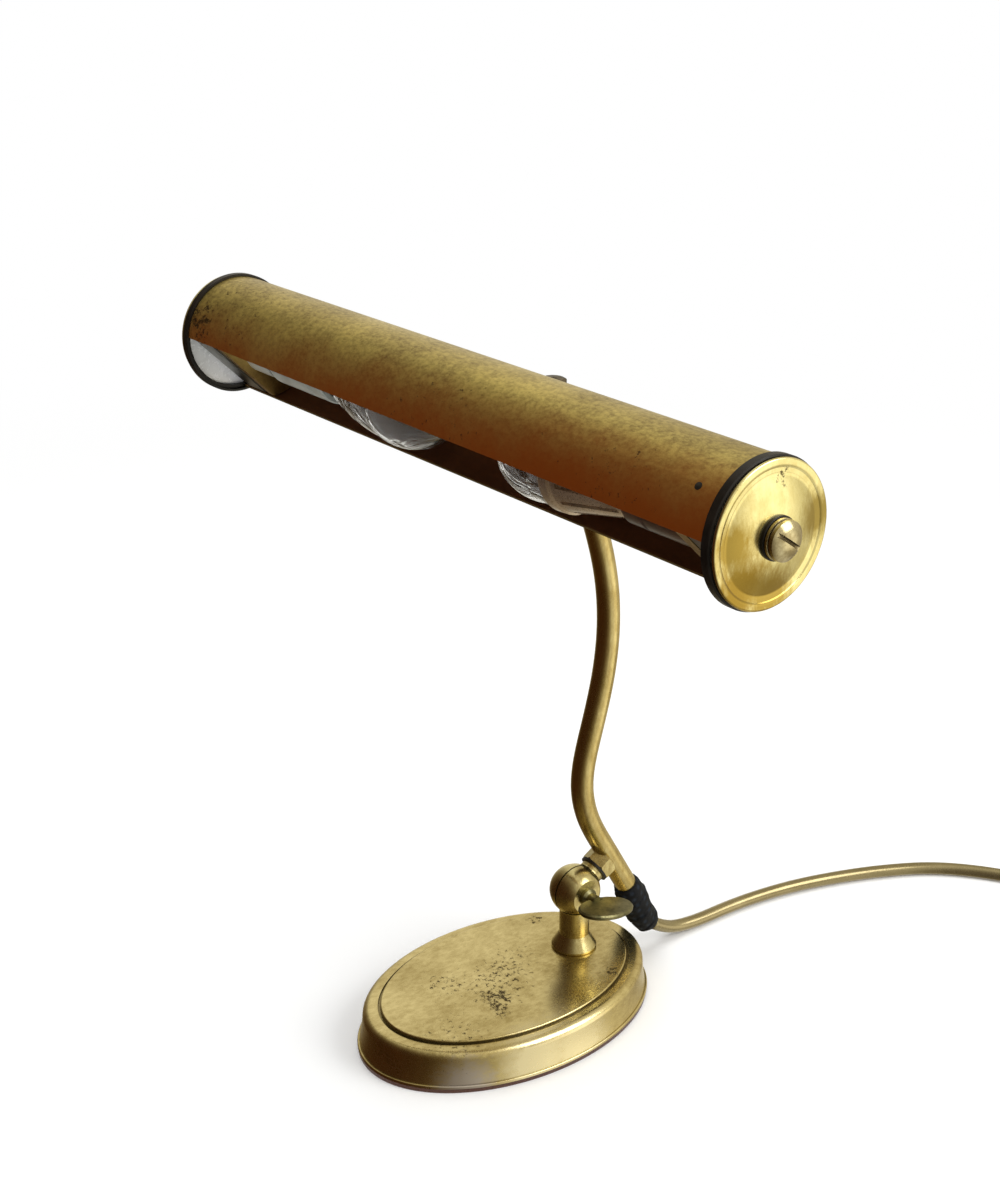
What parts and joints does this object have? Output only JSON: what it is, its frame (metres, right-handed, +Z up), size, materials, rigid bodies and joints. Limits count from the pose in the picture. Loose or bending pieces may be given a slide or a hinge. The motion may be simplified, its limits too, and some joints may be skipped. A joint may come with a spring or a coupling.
{
  "type": "piano lamp",
  "caption": "Brass piano lamp: oval weighted base, tilting bent arm on a knuckle with a wing screw, long slit tube shade that turns over two candle lamps, and a gold cord.",
  "frame": {"origin": "on the table, under the middle of the oval base", "axes": "+X along the shade to its right end, +Y to the back where the cord leaves, +Z up"},
  "size_m": [0.346, 0.449, 0.3052],
  "materials": {
    "felt": "brown felt",
    "cast_iron": "raw casting",
    "base_brass": "satin, aged, with dark pits",
    "aged_brass": "satin, aged",
    "shade_brass": "satin, aged, mottled",
    "cap_brass": "polished, scratched",
    "screw_brass": "polished",
    "bulkhead_brass": "dull",
    "zinc_steel": "zinc plated",
    "chassis_steel": "grey paint",
    "nickel": "nickel plated",
    "black_fibre": "matt",
    "black_plastic": "satin black",
    "dark_knob": "worn black",
    "white_plastic": "matt white",
    "black_tape": "woven tape",
    "gold_cord": "smooth gold sheath",
    "plug_gold": "moulded",
    "lead_white": "smooth",
    "holder_grey": "moulded",
    "holder_brown": "moulded",
    "sink_gold": "satin",
    "clear_glass": "clear",
    "stem_glass": "clear"
  },
  "bodies": {
    "base": {"base_felt": "felt", "base_weight": "cast_iron", "base_cover": "base_brass", "post_stud": "zinc_steel", "post_washer": "zinc_steel", "post_nut": "zinc_steel", "post_collar": "aged_brass", "knuckle_lower": "aged_brass", "knuckle_washer": "black_fibre", "cord_run": "gold_cord", "cord_coil": "gold_cord", "cord_tail": "gold_cord", "plug_body": "plug_gold", "plug_pins": "nickel"},
    "wing": {"wing_screw": "aged_brass"},
    "arm": {"arm_bush": "white_plastic", "arm_ferrule": "aged_brass", "arm_tube": "aged_brass", "bulb_left_cap": "nickel", "bulb_left_glass": "clear_glass", "bulb_left_stem": "stem_glass", "bulb_right_body": "sink_gold", "bulb_right_cap": "nickel", "bulb_right_dome": "clear_glass", "bulkhead_left": "bulkhead_brass", "bulkhead_right": "bulkhead_brass", "cap_collar_left": "cap_brass", "cap_collar_right": "cap_brass", "cap_liner_left": "white_plastic", "cap_liner_right": "white_plastic", "cap_screw_left": "screw_brass", "cap_screw_right": "screw_brass", "cap_washer_left": "black_fibre", "cap_washer_right": "black_fibre", "chassis_rail": "chassis_steel", "coupling_nut": "aged_brass", "coupling_washer": "black_fibre", "end_cap_left": "cap_brass", "end_cap_right": "cap_brass", "end_plate_left": "chassis_steel", "end_plate_right": "chassis_steel", "end_ring_left": "black_plastic", "end_ring_right": "black_plastic", "head_ball": "aged_brass", "head_nipple": "zinc_steel", "holder_base_left": "holder_grey", "holder_base_right": "zinc_steel", "knuckle_upper": "aged_brass", "lampholder_left": "holder_grey", "lampholder_right": "holder_brown", "lead_left": "lead_white", "lead_right": "lead_white", "nipple_flange": "aged_brass", "nipple_nut": "zinc_steel", "switch_body": "black_plastic", "tape_wrap": "black_tape"},
    "shade": {"shade_tube": "shade_brass", "shade_rivet": "black_plastic"},
    "knob": {"switch_knob": "dark_knob"}
  },
  "joints": [
    {"name": "arm_tilt", "type": "hinge", "parent": "base", "child": "arm", "pos_m": [0, 0.0391, 0.0482], "axis": [1, 0, 0], "range_deg": [-5, 40], "deforming": ["cord_run"]},
    {"name": "wing_turn", "type": "hinge", "parent": "base", "child": "wing", "pos_m": [0, 0.0391, 0.0482], "axis": [1, 0, 0], "range_deg": [0, 360]},
    {"name": "shade_turn", "type": "hinge", "parent": "arm", "child": "shade", "pos_m": [0, -0.0254, 0.2791], "axis": [1, 0, 0], "range_deg": [-25, 25]},
    {"name": "knob_turn", "type": "hinge", "parent": "arm", "child": "knob", "pos_m": [0, 0.0218, 0.26954], "axis": [0, 0, 1], "range_deg": [0, 90]}
  ]
}
